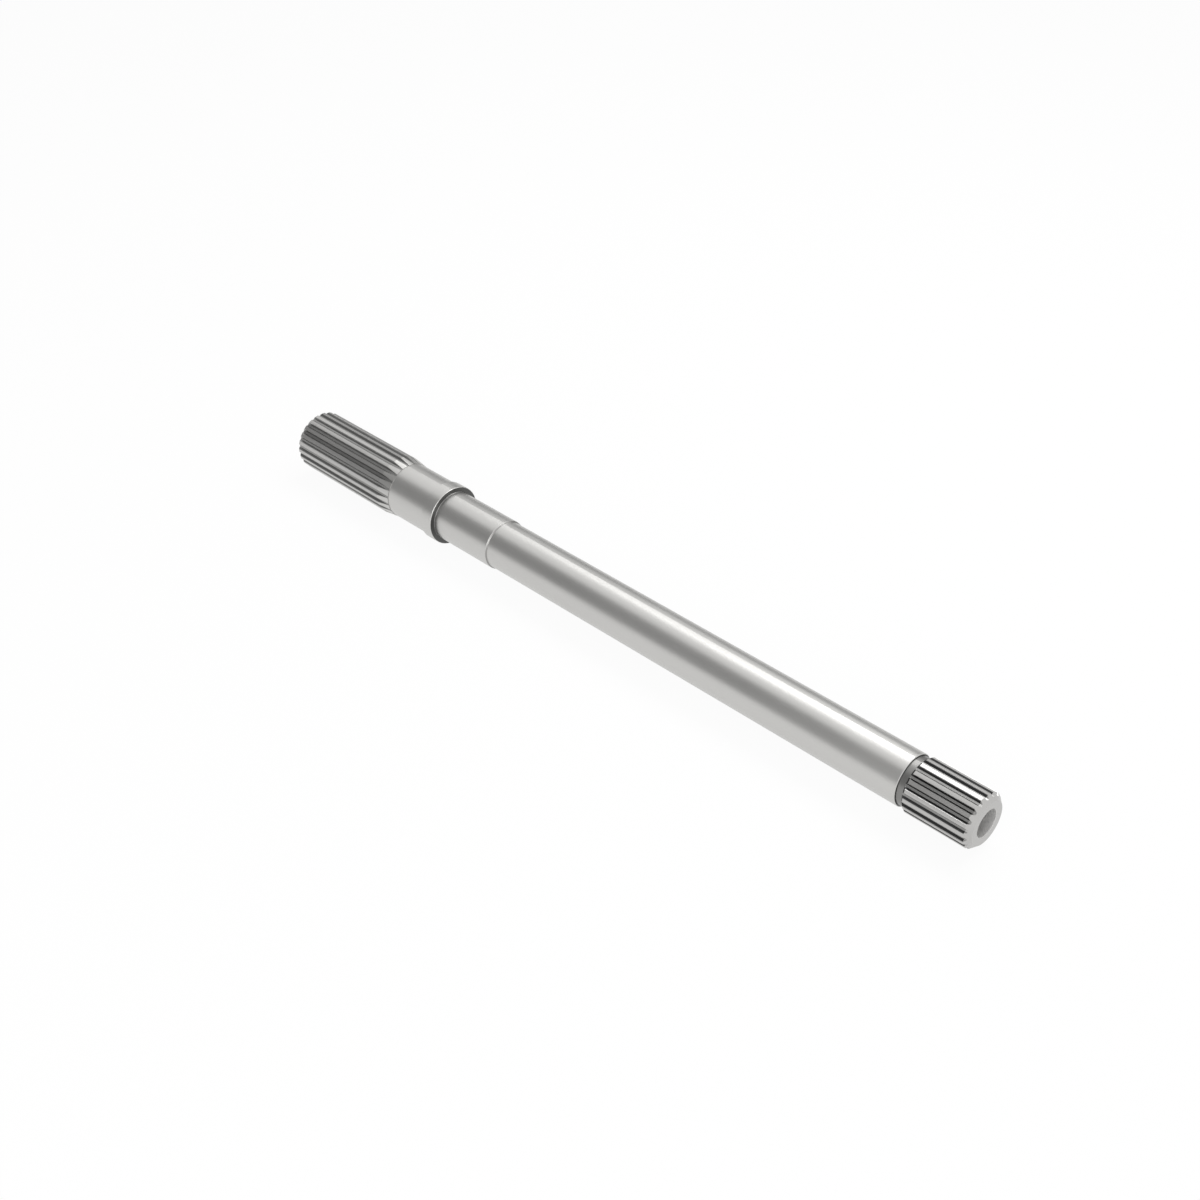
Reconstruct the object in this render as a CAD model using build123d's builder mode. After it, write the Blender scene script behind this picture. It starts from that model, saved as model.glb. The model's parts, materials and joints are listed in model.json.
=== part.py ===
"""Splined drive shaft.

One steel piece, turned, ground and hobbed.  The shaft lies along X, with its axis on the origin at
mid-length: the 22-tooth spline is at the -X end, and the 18-tooth spline and the blind bore are at
the +X end.  From -X to +X it has the rear spline with its run-out, a ground journal, a locating
collar, a bearing seat against the collar, the plain body, a neck and the front spline.
"""

import os
from math import acos, cos, pi, radians, sin, tan

from build123d import *

os.makedirs("parts", exist_ok=True)

# Overall length and the lengths along the axis, in millimetres.  The plain body takes what is left.
overall_length = 416.2
rear_spline_length = 64.6
runout_length = 7.4
journal_length = 25.6
collar_width = 7.3
seat_length = 37.4
neck_width = 2.9
front_spline_length = 32.3

# The two diameters that the others step from: the rear spline over its teeth, and the bearing seat.
rear_outside_diameter = 30.6
seat_diameter = 25.0

# Radial steps between neighbouring surfaces.
rear_tooth_height = 1.15
journal_relief = 0.05
runout_step = 0.15
collar_height = 0.85
body_relief = 0.575
bearing_clearance = 0.05
front_tooth_height = 1.2
neck_relief = 0.1

# Both splines have involute flanks on one module and pressure angle, and the same top land.
module = 1.25
pressure_angle = 30.0
land_width = 1.6
root_fillet = 0.2
flank_points = 5

rear_teeth = 22
front_teeth = 18

# The tooth spaces of the rear spline run out just above the journal, and the collar stands proud of
# both its neighbours.
rear_root_diameter = rear_outside_diameter - 2 * rear_tooth_height
journal_diameter = rear_root_diameter - 2 * journal_relief
runout_end_diameter = journal_diameter + 2 * runout_step
collar_diameter = max(journal_diameter, seat_diameter) + 2 * collar_height

# The bearing passes over the front spline and the body to reach its seat.
front_outside_diameter = seat_diameter - 2 * bearing_clearance
front_root_diameter = front_outside_diameter - 2 * front_tooth_height
neck_diameter = front_root_diameter - 2 * neck_relief
body_diameter = seat_diameter - 2 * body_relief

# Edge breaks, chamfers and fillets.
rear_end_chamfer = 0.8
collar_edge_break = 0.25
collar_fillet = 0.4
seat_chamfer = 0.6
body_edge_break = 0.3
neck_fillet = 0.4
front_spline_rear_chamfer = 1.25
front_end_chamfer = 2.5

# Blind bore in the front face, and the 60 degree centre hole in the rear face.
bore_diameter = 12.6
bore_depth = 40.0
bore_edge_break = 0.3
drill_point_angle = 118.0
centre_pilot_diameter = 3.15
centre_pilot_depth = 7.0
centre_mouth_diameter = 6.7
centre_cone_angle = 60.0

# Stations along the axis.
rear_face_x = -overall_length / 2
runout_start_x = rear_face_x + rear_spline_length
journal_start_x = runout_start_x + runout_length
collar_rear_x = journal_start_x + journal_length
collar_front_x = collar_rear_x + collar_width
seat_end_x = collar_front_x + seat_length
front_face_x = overall_length / 2
front_spline_start_x = front_face_x - front_spline_length
body_end_x = front_spline_start_x - neck_width

bore_point_length = bore_diameter / 2 / tan(radians(drill_point_angle / 2))


def involute(radius, teeth):
    """Involute function, in radians, of the pressure angle that a flank has at a radius."""
    base_radius = module * teeth / 2 * cos(radians(pressure_angle))
    angle = acos(min(1.0, base_radius / radius))
    return tan(angle) - angle


def tooth_half_angle(radius, teeth, outside_diameter):
    """Half the angle, in radians, that one tooth takes up at a radius."""
    tip = involute(outside_diameter / 2, teeth)
    return land_width / outside_diameter + tip - involute(radius, teeth)


def groove_section(teeth, outside_diameter, root_diameter):
    """Section of one tooth space, centred on the local X axis and open past the tooth tips."""
    root_radius = root_diameter / 2
    depth = outside_diameter / 2 - root_radius
    flank = []
    for i in range(flank_points):
        radius = root_radius + depth * i / (flank_points - 1)
        half_angle = pi / teeth - tooth_half_angle(radius, teeth, outside_diameter)
        flank.append((radius * cos(half_angle), radius * sin(half_angle)))
    tip_x, tip_y = flank[-1]
    mouth_x = tip_x + depth
    with BuildSketch() as section:
        with BuildLine():
            upper_flank = Spline(*flank)
            lower_flank = Spline(*[(x, -y) for x, y in flank])
            ThreePointArc(lower_flank @ 0, (root_radius, 0), upper_flank @ 0)
            Polyline(upper_flank @ 1, (mouth_x, tip_y), (mouth_x, -tip_y), lower_flank @ 1)
        make_face()
        fillet(section.vertices().group_by(Axis.X)[0], root_fillet)
    return section.sketch


with BuildPart() as splined_shaft:
    # Turned blank, revolved from its half section.
    with BuildSketch(Plane.XZ) as half_section:
        with BuildLine():
            Polyline(
                (rear_face_x, 0),
                (rear_face_x, rear_outside_diameter / 2 - rear_end_chamfer),
                (rear_face_x + rear_end_chamfer, rear_outside_diameter / 2),
                (runout_start_x, rear_outside_diameter / 2),
                (journal_start_x, runout_end_diameter / 2),
                (journal_start_x, journal_diameter / 2),
                (collar_rear_x, journal_diameter / 2),
                (collar_rear_x, collar_diameter / 2 - collar_edge_break),
                (collar_rear_x + collar_edge_break, collar_diameter / 2),
                (collar_front_x - collar_edge_break, collar_diameter / 2),
                (collar_front_x, collar_diameter / 2 - collar_edge_break),
                (collar_front_x, seat_diameter / 2),
                (seat_end_x - seat_chamfer, seat_diameter / 2),
                (seat_end_x, body_diameter / 2),
                (body_end_x - body_edge_break, body_diameter / 2),
                (body_end_x, body_diameter / 2 - body_edge_break),
                (body_end_x, neck_diameter / 2),
                (front_spline_start_x, neck_diameter / 2),
                (front_spline_start_x + front_spline_rear_chamfer, front_outside_diameter / 2),
                (front_face_x - front_end_chamfer, front_outside_diameter / 2),
                (front_face_x, front_outside_diameter / 2 - front_end_chamfer),
                (front_face_x, 0),
                close=True,
            )
        make_face()
        corners = half_section.vertices()
        fillet(corners.sort_by_distance((collar_front_x, seat_diameter / 2))[0], collar_fillet)
        fillet(corners.sort_by_distance((body_end_x, neck_diameter / 2))[0], neck_fillet)
    revolve(axis=Axis.X)

    # Rear tooth spaces, cut through the run-out to the journal.
    with BuildSketch(Plane.YZ.offset(rear_face_x)):
        with PolarLocations(0, rear_teeth, start_angle=180 / rear_teeth):
            add(groove_section(rear_teeth, rear_outside_diameter, rear_root_diameter))
    extrude(amount=rear_spline_length + runout_length, mode=Mode.SUBTRACT)

    # Front tooth spaces, cut from the front face into the neck.
    with BuildSketch(Plane.YZ.offset(front_face_x)):
        with PolarLocations(0, front_teeth, start_angle=180 / front_teeth):
            add(groove_section(front_teeth, front_outside_diameter, front_root_diameter))
    extrude(amount=-(front_spline_length + neck_width / 2), mode=Mode.SUBTRACT)

    # Blind bore with its edge break and drill point.
    with BuildSketch(Plane.XZ):
        with BuildLine():
            Polyline(
                (front_face_x, 0),
                (front_face_x, bore_diameter / 2 + bore_edge_break),
                (front_face_x - bore_edge_break, bore_diameter / 2),
                (front_face_x - bore_depth, bore_diameter / 2),
                (front_face_x - bore_depth - bore_point_length, 0),
                close=True,
            )
        make_face()
    revolve(axis=Axis.X, mode=Mode.SUBTRACT)

    # Centre hole in the rear face.
    with Locations(Plane(origin=(rear_face_x, 0, 0), z_dir=(-1, 0, 0))):
        CounterSinkHole(
            centre_pilot_diameter / 2,
            centre_mouth_diameter / 2,
            depth=centre_pilot_depth,
            counter_sink_angle=centre_cone_angle,
        )

splined_shaft.part.label = "splined_shaft"
export_step(splined_shaft.part, "parts/splined_shaft.step")
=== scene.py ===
"""Looks of the splined shaft: its steel finishes, and the studio that it lies in."""

from __future__ import annotations

import json
import logging
from dataclasses import dataclass
from enum import Enum
from typing import Any

import bpy
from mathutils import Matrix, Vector


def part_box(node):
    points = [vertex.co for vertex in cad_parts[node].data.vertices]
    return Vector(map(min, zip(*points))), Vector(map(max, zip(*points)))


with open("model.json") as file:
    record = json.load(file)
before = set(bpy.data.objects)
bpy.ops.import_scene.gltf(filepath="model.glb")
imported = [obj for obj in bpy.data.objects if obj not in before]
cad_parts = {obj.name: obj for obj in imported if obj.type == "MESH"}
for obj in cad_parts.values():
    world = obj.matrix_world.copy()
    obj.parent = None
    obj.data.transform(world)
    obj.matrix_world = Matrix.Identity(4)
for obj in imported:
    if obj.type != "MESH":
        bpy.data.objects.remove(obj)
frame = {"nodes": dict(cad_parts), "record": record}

LOG = logging.getLogger("splined_shaft")
MM = 0.001
NODE = "splined_shaft"

FAR = 1.0

Number = float | int
Colour = tuple[float, float, float, float]
Place = tuple[float, float, float]

WHITE: Colour = (1.0, 1.0, 1.0, 1.0)


class MathOp(Enum):
    """Operations of a Math node that the finishes use."""

    ADD = "ADD"
    SUBTRACT = "SUBTRACT"
    MULTIPLY = "MULTIPLY"
    DIVIDE = "DIVIDE"
    MAXIMUM = "MAXIMUM"
    MINIMUM = "MINIMUM"


class Signal:
    """A shader value: the output socket of a node, on which arithmetic adds Math nodes."""

    def __init__(self, graph: Graph, socket: bpy.types.NodeSocket | None) -> None:
        """Wraps a socket.

        Args:
            graph: The graph that new nodes go into.
            socket: The output socket that carries the value, or None for a node that has none.
        """
        self.graph = graph
        self.socket = socket

    def _math(self, op: MathOp, first: Signal | Number, second: Signal | Number) -> Signal:
        """Adds one Math node.

        Args:
            op: The operation.
            first: The first operand.
            second: The second operand.

        Returns:
            The result.
        """
        return self.graph.node("ShaderNodeMath", {"operation": op.value}, {0: first, 1: second})

    def __add__(self, other: Signal | Number) -> Signal:
        """Sum."""
        return self._math(MathOp.ADD, self, other)

    def __radd__(self, other: Number) -> Signal:
        """Sum with a number in front."""
        return self._math(MathOp.ADD, other, self)

    def __sub__(self, other: Signal | Number) -> Signal:
        """Difference."""
        return self._math(MathOp.SUBTRACT, self, other)

    def __rsub__(self, other: Number) -> Signal:
        """Difference from a number."""
        return self._math(MathOp.SUBTRACT, other, self)

    def __mul__(self, other: Signal | Number) -> Signal:
        """Product."""
        return self._math(MathOp.MULTIPLY, self, other)

    def __rmul__(self, other: Number) -> Signal:
        """Product with a number in front."""
        return self._math(MathOp.MULTIPLY, other, self)

    def __truediv__(self, other: Signal | Number) -> Signal:
        """Quotient."""
        return self._math(MathOp.DIVIDE, self, other)

    def beside(self, output: int | str) -> Signal:
        """Another output of the same node."""
        return Signal(self.graph, self.socket.node.outputs[output])

    def at_least(self, other: Signal | Number) -> Signal:
        """The larger of the two."""
        return self._math(MathOp.MAXIMUM, self, other)

    def at_most(self, other: Signal | Number) -> Signal:
        """The smaller of the two."""
        return self._math(MathOp.MINIMUM, self, other)

    def clamped(self) -> Signal:
        """Its value held between 0 and 1."""
        return self.at_least(0.0).at_most(1.0)

    def within(self, low: Number, high: Number, blend: Number) -> Signal:
        """Mask of a span.

        Args:
            low: Where the span starts.
            high: Where the span ends.
            blend: Width over which the mask fades at either end.

        Returns:
            1 inside the span and 0 outside it.
        """
        rise = ((self - low) / blend + 0.5).clamped()
        fall = ((high - self) / blend + 0.5).clamped()
        return rise * fall


class Graph:
    """The nodes of one material or world."""

    def __init__(self, tree: bpy.types.NodeTree) -> None:
        """Empties a tree.

        Args:
            tree: The tree that the nodes go into.
        """
        self.tree = tree
        tree.nodes.clear()

    def node(
        self,
        kind: str,
        settings: dict[str, Any] | None = None,
        inputs: dict[int | str, Any] | None = None,
        output: int | str = 0,
    ) -> Signal:
        """Adds one node.

        Args:
            kind: The node's type.
            settings: Attributes set before anything is linked.
            inputs: A value or a Signal for each input socket.
            output: The output socket wanted.

        Returns:
            The chosen output.
        """
        made = self.tree.nodes.new(kind)
        for name, value in (settings or {}).items():
            setattr(made, name, value)
        for key, value in (inputs or {}).items():
            if isinstance(value, Signal):
                self.tree.links.new(value.socket, made.inputs[key])
            else:
                made.inputs[key].default_value = value
        return Signal(self, made.outputs[output] if len(made.outputs) else None)

    def colour_mix(self, factor: Signal | Number, first: Any, second: Any) -> Signal:
        """Mixes two colours.

        Args:
            factor: Share of the second colour.
            first: The first colour.
            second: The second colour.

        Returns:
            The mixed colour.
        """
        inputs = {0: factor, 6: first, 7: second}
        return self.node("ShaderNodeMix", {"data_type": "RGBA"}, inputs, 2)


@dataclass(frozen=True)
class SteelFinish:
    """How one kind of worked steel surface looks.

    Attributes:
        colour: Reflected colour.
        roughness: Mean roughness.
        streak: How much the roughness varies between neighbouring tool marks.
        mark_depth: Height of the tool marks in the bump, in metres.
    """

    colour: Colour
    roughness: float
    streak: float
    mark_depth: float


GROUND = SteelFinish((0.57, 0.565, 0.55, 1.0), 0.36, 0.05, 0.0000015)
TURNED = SteelFinish((0.57, 0.565, 0.55, 1.0), 0.36, 0.07, 0.0000030)
HOBBED = SteelFinish((0.50, 0.495, 0.485, 1.0), 0.34, 0.09, 0.0000040)


@dataclass(frozen=True)
class SteelPatch:
    """A grey laid over the steel on one small part of the shaft; most are painted shade, and the
    bore's is painted light and shade.

    Attributes:
        colour: Reflected colour there.
        edge: Width over which it fades, in metres.
    """

    colour: Colour
    edge: float


# Painted shade on the spline flanks, near black at the bored end; the steel itself is no darker
# there.
REAR_FLANK_SHADE = SteelPatch((0.24, 0.24, 0.236, 1.0), 0.00012)
FRONT_FLANK_SHADE = SteelPatch((0.055, 0.055, 0.056, 1.0), 0.00012)
# Painted shade on the floors of the tooth spaces.
ROOT_SHADE = SteelPatch((0.30, 0.298, 0.292, 1.0), 0.00008)
# Painted shade on the collar's face and the face at the neck, where those creases are shaded.
SHOULDER_SHADE = SteelPatch((0.10, 0.10, 0.098, 1.0), 0.00004)
# Painted shade on the neck behind the front spline.
NECK_SHADE = SteelPatch((0.24, 0.238, 0.232, 1.0), 0.0001)
# Painted shade as thin dark lines at the seat's chamfer and the collar's rear edge.
EDGE_LINE_SHADE = SteelPatch((0.32, 0.316, 0.308, 1.0), 0.0001)
END_FACE = SteelPatch((0.50, 0.495, 0.485, 1.0), 0.0002)
# Painted light and shade in the bore: with bore_dulling's duller metal, this grey sets how bright
# the bore looks.
BORE_LIGHT_AND_SHADE = SteelPatch((0.58, 0.575, 0.565, 1.0), 0.0002)


@dataclass
class ShaftStations:
    """Places along the shaft, in metres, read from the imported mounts."""

    rear_face: float
    rear_spline_end: float
    journal_start: float
    journal_end: float
    collar_front: float
    seat_end: float
    front_spline_start: float
    front_face: float
    seat_radius: float
    rear_tip_radius: float
    front_tip_radius: float
    bore_radius: float
    bore_length: float

    @classmethod
    def from_record(cls, record: dict[str, Any]) -> ShaftStations:
        """Works the stations out.

        Args:
            record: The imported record.

        Returns:
            The stations.
        """
        mounts = {mount["name"]: mount for mount in record["mounts"]}

        def end(name: str, side: int) -> float:
            """An end of a mount's span along the axis."""
            return mounts[name]["pos_m"][0] + side * mounts[name]["dims"]["length_mm"] * MM / 2

        def radius(name: str) -> float:
            """A mount's radius."""
            return mounts[name]["dims"]["r_mm"] * MM

        return cls(
            rear_face=mounts["rear_face"]["pos_m"][0],
            rear_spline_end=end("rear_spline", 1),
            journal_start=end("seal_journal", -1),
            journal_end=end("seal_journal", 1),
            collar_front=mounts["collar_face"]["pos_m"][0],
            seat_end=end("bearing_seat", 1),
            front_spline_start=end("front_spline", -1),
            front_face=mounts["front_face"]["pos_m"][0],
            seat_radius=radius("bearing_seat"),
            rear_tip_radius=radius("rear_spline"),
            front_tip_radius=radius("front_spline"),
            bore_radius=radius("front_bore"),
            bore_length=mounts["front_bore"]["dims"]["length_mm"] * MM,
        )


@dataclass
class ShaftSteel:
    """The steel of the shaft, with a finish for each stretch of it and painted shade and light on
    small parts of it.

    Attributes:
        stations: Where the stretches meet.
        zone_blend: Width over which one finish gives way to the next, in metres.
        land_break: How far below the tooth tips the dark flanks start, in metres.
        rear_tooth_height: Depth of the rear tooth spaces, in metres.
        front_tooth_height: Depth of the front tooth spaces, in metres.
        neck_width: Width of the neck behind the front spline, in metres.
        seat_chamfer: Length of the chamfer that ends the seat, in metres.
        collar_rim: Bright outer edge of the collar's face, in metres.
        runout_drop: How far the lands come down along the run-out, in metres.
        front_chamfer: Length of the chamfer at the bored end, in metres.
        rear_chamfer: Length of the chamfer at the other end, in metres.
        bore_dulling: How much less mirror-like the wall of the bore is.
        face_reach: How far the painted shade on the collar's face runs along the axis, and how far
        short of the bright rim it stops, in metres.
        neck_face_reach: How far the painted shade on the face at the neck runs along the axis, in
            metres.
        mark_pitch: Spacing of the tool marks, in metres.
        mark_scale: Scale of the noise that makes the tool marks.
        smudge_scale: Scale of the noise that makes the smudges.
        smudge: How much the smudges change the roughness.
    """

    stations: ShaftStations
    zone_blend: float = 0.0004
    land_break: float = 0.00022
    rear_tooth_height: float = 0.00115
    front_tooth_height: float = 0.0012
    neck_width: float = 0.0029
    seat_chamfer: float = 0.0006
    collar_rim: float = 0.00275
    runout_drop: float = 0.00105
    front_chamfer: float = 0.0025
    rear_chamfer: float = 0.0008
    # bore_dulling: How much less mirror-like the wall of the bore is; with its grey, this sets the
    # painted light and shade in the bore.
    bore_dulling: float = 0.7
    face_reach: float = 0.0002
    neck_face_reach: float = 0.00012
    mark_pitch: float = 0.00012
    mark_scale: float = 0.5
    smudge_scale: float = 55.0
    smudge: float = 0.06

    def build(self) -> bpy.types.Material:
        """Makes the material.

        Returns:
            The material.
        """
        material = bpy.data.materials.new("shaft_steel")
        material.use_nodes = True
        graph = Graph(material.node_tree)
        place = graph.node("ShaderNodeTexCoord", output="Object")
        along = graph.node("ShaderNodeSeparateXYZ", inputs={0: place})
        across = graph.node(
            "ShaderNodeCombineXYZ", inputs={0: 0.0, 1: along.beside(1), 2: along.beside(2)}
        )
        radius = graph.node("ShaderNodeVectorMath", {"operation": "LENGTH"}, {0: across}, "Value")

        hobbed = self._hobbed(along)
        turned = along.within(
            self.stations.seat_end, self.stations.front_spline_start, self.zone_blend
        )

        roughness = self._blend(
            hobbed, turned, GROUND.roughness, TURNED.roughness, HOBBED.roughness
        )
        streak = self._streaks(graph, along)
        roughness = roughness + (streak - 0.5) * self._blend(
            hobbed, turned, GROUND.streak, TURNED.streak, HOBBED.streak
        )
        smudge = graph.node(
            "ShaderNodeTexNoise",
            inputs={"Vector": place, "Scale": self.smudge_scale, "Detail": 3.0, "Roughness": 0.55},
        )
        roughness = roughness + (smudge - 0.5) * self.smudge

        worked = graph.colour_mix(turned, GROUND.colour, TURNED.colour)
        colour = graph.colour_mix(hobbed, worked, HOBBED.colour)
        # Lays the patches in turn: painted shade in tooth spaces, creases and edges, the end face's
        # steel, and painted light and shade in the bore.
        for patch, mask in self._patches(along, radius):
            colour = graph.colour_mix(mask, colour, patch.colour)

        depth = self._blend(
            hobbed, turned, GROUND.mark_depth, TURNED.mark_depth, HOBBED.mark_depth
        )
        bump = graph.node(
            "ShaderNodeBump", inputs={"Strength": 1.0, "Distance": 1.0, "Height": streak * depth}
        )
        shader = graph.node(
            "ShaderNodeBsdfPrincipled",
            inputs={
                "Base Color": colour,
                # Duller metal in the bore, part of its painted light and shade.
                "Metallic": 1 - self._bore(along, radius) * self.bore_dulling,
                "Roughness": roughness.clamped(),
                "Normal": bump,
            },
        )
        graph.node("ShaderNodeOutputMaterial", inputs={"Surface": shader})
        return material

    def _hobbed(self, along: Signal) -> Signal:
        """Mask of the two splines."""
        rear = along.within(-FAR, self.stations.rear_spline_end, self.zone_blend)
        front = along.within(self.stations.front_spline_start, FAR, self.zone_blend)
        return (rear + front).clamped()

    def _patches(self, along: Signal, radius: Signal) -> list[tuple[SteelPatch, Signal]]:
        """Finds the small parts that get a grey of their own: painted shade, the end face's plain
        steel, and painted light and shade in the bore.

        Args:
            along: Place along the axis, in metres.
            radius: Distance from the axis, in metres.

        Returns:
            Each stain with its mask, in the order that they are laid.
        """
        end_face = along.within(
            self.stations.front_face - self.front_chamfer, FAR, END_FACE.edge
        )
        return [
            *self._tooth_painted_shade(along, radius),
            *self._shoulder_painted_shade(along, radius),
            (END_FACE, end_face),
            (BORE_LIGHT_AND_SHADE, self._bore(along, radius)),
        ]

    def _tooth_painted_shade(self, along: Signal, radius: Signal) -> list[tuple[SteelPatch, Signal]]:
        """Finds the flanks and the floors of the tooth spaces, where shade is painted.

        Args:
            along: Place along the axis, in metres.
            radius: Distance from the axis, in metres.

        Returns:
            Each stain with its mask.
        """
        at = self.stations
        rear = along.within(at.rear_face + self.rear_chamfer / 2, at.journal_start, REAR_FLANK_SHADE.edge)
        front = along.within(
            at.front_spline_start, at.front_face - self.front_chamfer, FRONT_FLANK_SHADE.edge
        )
        rear_root = at.rear_tip_radius - self.rear_tooth_height
        front_root = at.front_tip_radius - self.front_tooth_height
        cone = ((along - at.rear_spline_end) / (at.journal_start - at.rear_spline_end)).clamped()
        land = at.rear_tip_radius - self.land_break - cone * self.runout_drop
        rear_flank_shade = rear * ((land - radius) / REAR_FLANK_SHADE.edge + 0.5).clamped()
        front_flank_shade = front * radius.within(
            front_root, at.front_tip_radius - self.land_break, FRONT_FLANK_SHADE.edge
        )
        rear_floor_shade = rear * self._floor_of(radius, rear_root)
        front_floor_shade = front * self._floor_of(radius, front_root)
        return [
            (REAR_FLANK_SHADE, rear_flank_shade),
            (FRONT_FLANK_SHADE, front_flank_shade),
            (ROOT_SHADE, (rear_floor_shade + front_floor_shade).clamped()),
        ]

    def _floor_of(self, radius: Signal, root: float) -> Signal:
        """Mask of the tooth spaces' floors, where shade is painted.

        Args:
            radius: Distance from the axis, in metres.
            root: Radius of the floors, in metres.

        Returns:
            1 on the floors and 0 elsewhere.
        """
        return radius.within(root - self.land_break, root + self.land_break / 2, ROOT_SHADE.edge)

    def _shoulder_painted_shade(self, along: Signal, radius: Signal) -> list[tuple[SteelPatch, Signal]]:
        """Finds where shade is painted on the neck, the shoulders' faces and the edge lines at the
        seat and the collar.

        Args:
            along: Place along the axis, in metres.
            radius: Distance from the axis, in metres.

        Returns:
            Each stain with its mask.
        """
        at = self.stations
        # Painted shade on the collar's face, stopping short of its rim, and on the face at the
        # neck.
        collar_face = along.within(
            at.collar_front - SHOULDER_SHADE.edge, at.collar_front + self.face_reach, SHOULDER_SHADE.edge
        ) * radius.within(
            0.0, at.seat_radius + self.collar_rim - self.face_reach, SHOULDER_SHADE.edge
        )
        neck_start = at.front_spline_start - self.neck_width
        neck_face_shade = along.within(
            neck_start - SHOULDER_SHADE.edge, neck_start + self.neck_face_reach, SHOULDER_SHADE.edge
        )
        # Painted shade on the neck.
        neck = along.within(neck_start, at.front_spline_start, NECK_SHADE.edge)
        # Painted shade: a thin dark line at the collar's rear edge and another on the seat's
        # chamfer.
        collar_line_shade = along.within(
            at.journal_end - EDGE_LINE_SHADE.edge, at.journal_end + 2 * EDGE_LINE_SHADE.edge, EDGE_LINE_SHADE.edge
        )
        seat_edge_shade = along.within(at.seat_end, at.seat_end + self.seat_chamfer, EDGE_LINE_SHADE.edge)
        return [
            (NECK_SHADE, neck),
            (SHOULDER_SHADE, (collar_face + neck_face_shade).clamped()),
            (EDGE_LINE_SHADE, (seat_edge_shade + collar_line_shade).clamped()),
        ]

    def _bore(self, along: Signal, radius: Signal) -> Signal:
        """Mask of the bore's wall.

        Args:
            along: Place along the axis, in metres.
            radius: Distance from the axis, in metres.

        Returns:
            1 on the wall and 0 elsewhere.
        """
        at = self.stations
        deep = along.within(at.front_face - at.bore_length, FAR, BORE_LIGHT_AND_SHADE.edge)
        return deep * radius.within(
            -BORE_LIGHT_AND_SHADE.edge, at.bore_radius + BORE_LIGHT_AND_SHADE.edge, BORE_LIGHT_AND_SHADE.edge
        )

    @staticmethod
    def _blend(
        hobbed: Signal,
        turned: Signal,
        ground_value: float,
        turned_value: float,
        hobbed_value: float,
    ) -> Signal:
        """Picks a number by stretch.

        Args:
            hobbed: Mask of the splines.
            turned: Mask of the plain body.
            ground_value: The number on the ground surfaces.
            turned_value: The number on the plain body.
            hobbed_value: The number on the splines.

        Returns:
            The number at each point.
        """
        return (
            ground_value
            + turned * (turned_value - ground_value)
            + hobbed * (hobbed_value - ground_value)
        )

    def _streaks(self, graph: Graph, along: Signal) -> Signal:
        """Tool marks that run round the shaft.

        Args:
            graph: The graph.
            along: Place along the axis, in metres.

        Returns:
            A value about 0.5 that changes along the axis only.
        """
        line = graph.node(
            "ShaderNodeCombineXYZ", inputs={0: along / self.mark_pitch, 1: 0.0, 2: 0.0}
        )
        return graph.node(
            "ShaderNodeTexNoise",
            inputs={"Vector": line, "Scale": self.mark_scale, "Detail": 3.0, "Roughness": 0.6},
        )


@dataclass
class Shaft:
    """The shaft itself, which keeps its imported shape.

    Attributes:
        stations: Where its stretches meet.
    """

    stations: ShaftStations

    def dress(self) -> bpy.types.Object:
        """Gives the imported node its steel.

        Returns:
            The dressed node.
        """
        node = frame["nodes"][NODE]
        steel = ShaftSteel(self.stations).build()
        for material_slot in node.material_slots:
            material_slot.material = steel
        return node


@dataclass(frozen=True)
class Lamp:
    """One soft rectangular lamp that faces the shaft.

    Attributes:
        name: Its name.
        place: Its centre, in metres.
        wide: Its width, in metres.
        high: Its height, in metres.
        watts: Its power.
    """

    name: str
    place: Place
    wide: float
    high: float
    watts: float


@dataclass(frozen=True)
class Card:
    """One dark card that faces the shaft and shows only in reflections.

    Attributes:
        name: Its name.
        place: Its centre, in metres.
        wide: Its width, in metres.
        high: Its height, in metres.
        slant: How much higher its top is at one end than at its middle, and lower at the other.
    """

    name: str
    place: Place
    wide: float
    high: float
    slant: float = 0.0


LAMPS = (
    Lamp("top", (0.1, 0.5, 0.9), 0.9, 0.5, 5.0),
    Lamp("strip", (-0.42, 0.30, 0.76), 0.12, 0.50, 0.40),
    Lamp("front", (0.5, -0.9, 0.5), 0.8, 0.8, 5.0),
)
CARDS = (
    Card("front_card", (-0.62, -0.64, 0.52), 1.9, 1.05, 0.45),
    Card("back_card", (-0.35, 0.75, 0.16), 1.8, 0.46),
)


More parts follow.
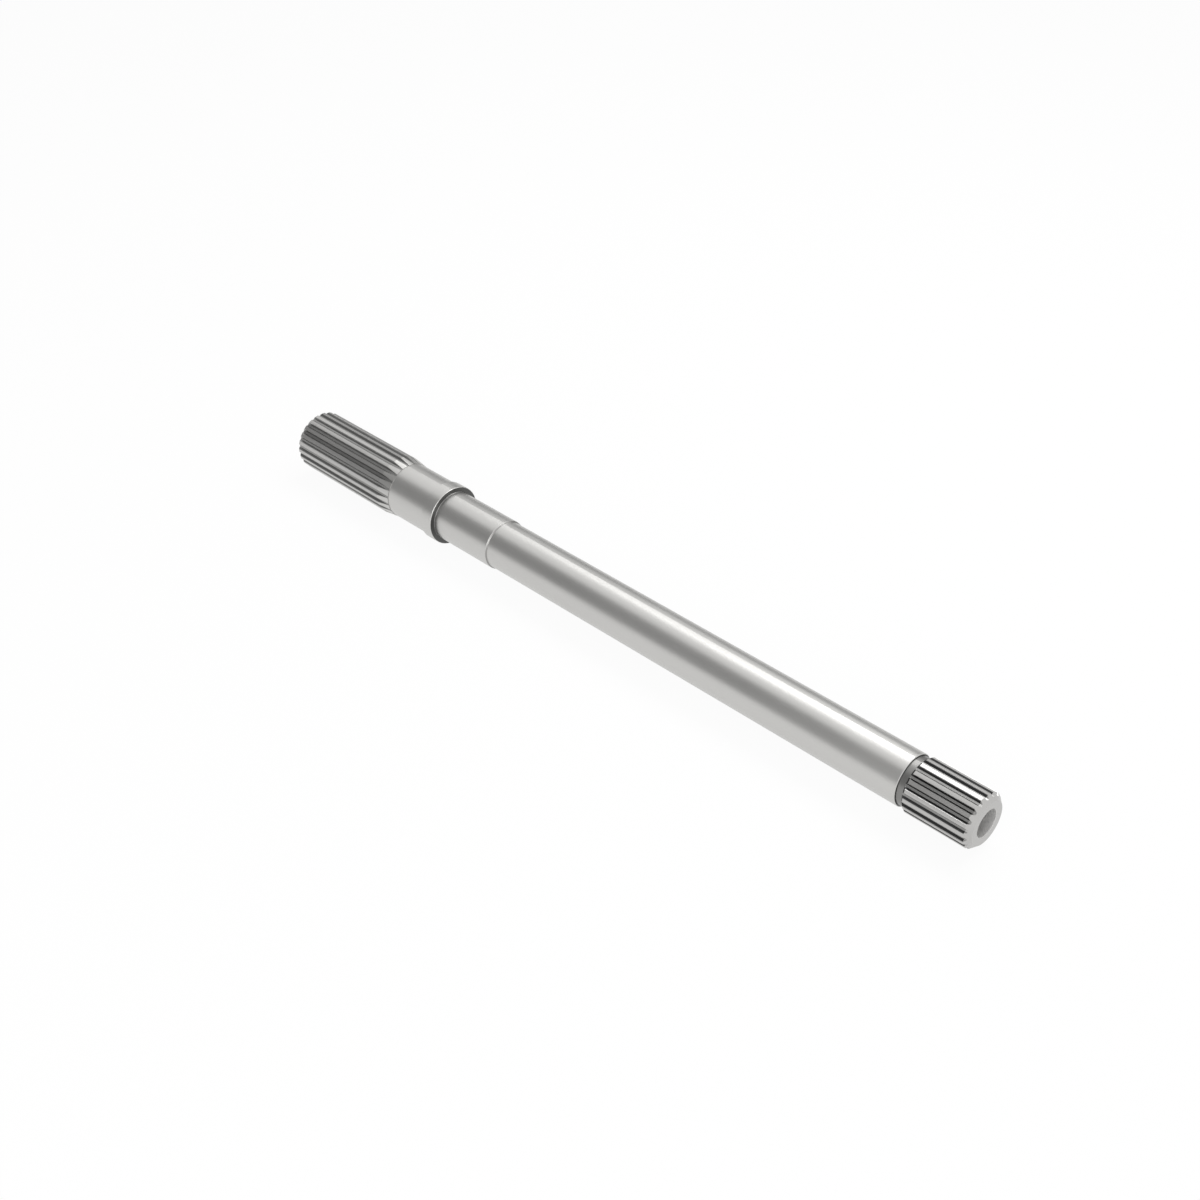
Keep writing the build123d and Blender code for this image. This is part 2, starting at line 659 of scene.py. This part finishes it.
@dataclass
class Studio:
    """Floor, lamps, world and camera.

    Attributes:
        camera_target: Point that the camera looks at, in metres.
        camera_distance: From the camera to that point, in metres.
        camera_lens: Focal length, in millimetres.
        camera_sensor: Width of the sensor, in millimetres.
        camera_clip: Nearest and farthest distance seen, in metres.
        floor_side: Side of the floor, in metres.
        floor_whiteness: Share of the floor that is plain white; the rest shows the shaft's shadow.
        floor_grey: Level of the floor itself.
        card_grey: Level of the dark cards that the steel reflects.
        world_light: How strongly the surroundings light the scene.
    """

    camera_target: Place = (-0.00205, 0.0, 0.0)
    camera_distance: float = 0.7796
    camera_lens: float = 51.45
    camera_sensor: float = 36.0
    camera_clip: tuple[float, float] = (0.01, 50.0)
    floor_side: float = 6.0
    floor_whiteness: float = 0.93
    floor_grey: float = 0.9
    card_grey: float = 0.31
    world_light: float = 0.55

    def build(self) -> None:
        """Makes the whole studio."""
        self._camera()
        self._floor()
        for lamp in LAMPS:
            self._lamp(lamp)
        for card in CARDS:
            self._card(card)
        self._world()
        bpy.context.scene.view_settings.view_transform = "Standard"

    def _camera(self) -> None:
        """Looks down on the shaft from its bored end, all three axes at the same slant."""
        back = Vector((1.0, -1.0, 1.0)).normalized()
        data = bpy.data.cameras.new("camera")
        data.lens = self.camera_lens
        data.sensor_width = self.camera_sensor
        data.clip_start, data.clip_end = self.camera_clip
        camera = bpy.data.objects.new("camera", data)
        camera.location = Vector(self.camera_target) + back * self.camera_distance
        camera.rotation_mode = "QUATERNION"
        camera.rotation_quaternion = (-back).to_track_quat("-Z", "Y")
        bpy.context.scene.collection.objects.link(camera)
        bpy.context.scene.camera = camera

    def _floor(self) -> None:
        """A pale floor that looks white but keeps the shaft's shadow."""
        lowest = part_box(NODE)[0][2]
        half = self.floor_side / 2
        mesh = bpy.data.meshes.new("floor")
        outline = [
            (-half, -half, lowest),
            (half, -half, lowest),
            (half, half, lowest),
            (-half, half, lowest),
        ]
        mesh.from_pydata(outline, [], [(0, 1, 2, 3)])
        floor = bpy.data.objects.new("floor", mesh)
        bpy.context.scene.collection.objects.link(floor)
        material = bpy.data.materials.new("floor_paper")
        material.use_nodes = True
        graph = Graph(material.node_tree)
        grey = (self.floor_grey, self.floor_grey, self.floor_grey, 1.0)
        paper = graph.node(
            "ShaderNodeBsdfPrincipled", inputs={"Base Color": grey, "Roughness": 0.9}
        )
        white = graph.node("ShaderNodeEmission", inputs={"Color": WHITE, "Strength": 1.0})
        seen = looked_at(graph) * self.floor_whiteness
        surface = graph.node("ShaderNodeMixShader", inputs={0: seen, 1: paper, 2: white})
        graph.node("ShaderNodeOutputMaterial", inputs={"Surface": surface})
        mesh.materials.append(material)

    @staticmethod
    def _lamp(lamp: Lamp) -> None:
        """Adds one lamp.

        Args:
            lamp: The lamp.
        """
        data = bpy.data.lights.new(lamp.name, "AREA")
        data.shape = "RECTANGLE"
        data.size, data.size_y, data.energy = lamp.wide, lamp.high, lamp.watts
        made = bpy.data.objects.new(lamp.name, data)
        Studio._face_shaft(made, lamp.place)
        bpy.context.scene.collection.objects.link(made)

    @staticmethod
    def _face_shaft(made: bpy.types.Object, place: Place) -> None:
        """Puts a lamp or a card in its place, turned to the middle of the shaft.

        Args:
            made: The object.
            place: Its centre, in metres.
        """
        made.location = place
        made.rotation_mode = "QUATERNION"
        made.rotation_quaternion = (-Vector(place)).to_track_quat("-Z", "Y")

    def _card(self, card: Card) -> None:
        """Adds one card.

        Args:
            card: The card.
        """
        mesh = bpy.data.meshes.new(card.name)
        half_wide, half_high = card.wide / 2, card.high / 2
        outline = [
            (-half_wide, -half_high, 0),
            (half_wide, -half_high, 0),
            (half_wide, half_high + card.slant, 0),
            (-half_wide, half_high - card.slant, 0),
        ]
        mesh.from_pydata(outline, [], [(0, 1, 2, 3)])
        made = bpy.data.objects.new(card.name, mesh)
        self._face_shaft(made, card.place)
        made.visible_camera = made.visible_shadow = made.visible_diffuse = False
        bpy.context.scene.collection.objects.link(made)
        material = bpy.data.materials.new(card.name)
        material.use_nodes = True
        graph = Graph(material.node_tree)
        grey = graph.node(
            "ShaderNodeEmission", inputs={"Color": WHITE, "Strength": self.card_grey}
        )
        graph.node("ShaderNodeOutputMaterial", inputs={"Surface": grey})
        mesh.materials.append(material)

    def _world(self) -> None:
        """Even pale surroundings, white where the camera or a reflection sees them."""
        world = bpy.data.worlds.new("surroundings")
        bpy.context.scene.world = world
        world.use_nodes = True
        graph = Graph(world.node_tree)
        level = self.world_light + looked_at(graph) * (1 - self.world_light)
        glow = graph.node("ShaderNodeBackground", inputs={"Color": WHITE, "Strength": level})
        graph.node("ShaderNodeOutputWorld", inputs={"Surface": glow})


def looked_at(graph: Graph) -> Signal:
    """Mask of what the camera, a reflection or a transmission sees.

    Args:
        graph: The graph that the mask goes into.

    Returns:
        1 for those rays and 0 for the others.
    """
    rays = graph.node("ShaderNodeLightPath", output="Is Camera Ray")
    glossy = rays.beside("Is Glossy Ray")
    return rays.at_least(glossy).at_least(rays.beside("Is Transmission Ray"))


def main() -> None:
    """Builds the scene."""
    logging.basicConfig(level=logging.INFO, format="%(message)s")
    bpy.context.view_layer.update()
    shaft = Shaft(ShaftStations.from_record(frame["record"])).dress()
    LOG.info("shaft: %s, %d faces", shaft.name, len(shaft.data.polygons))
    Studio().build()
    LOG.info("studio: floor, lamps and camera")


if __name__ == "__main__":
    main()
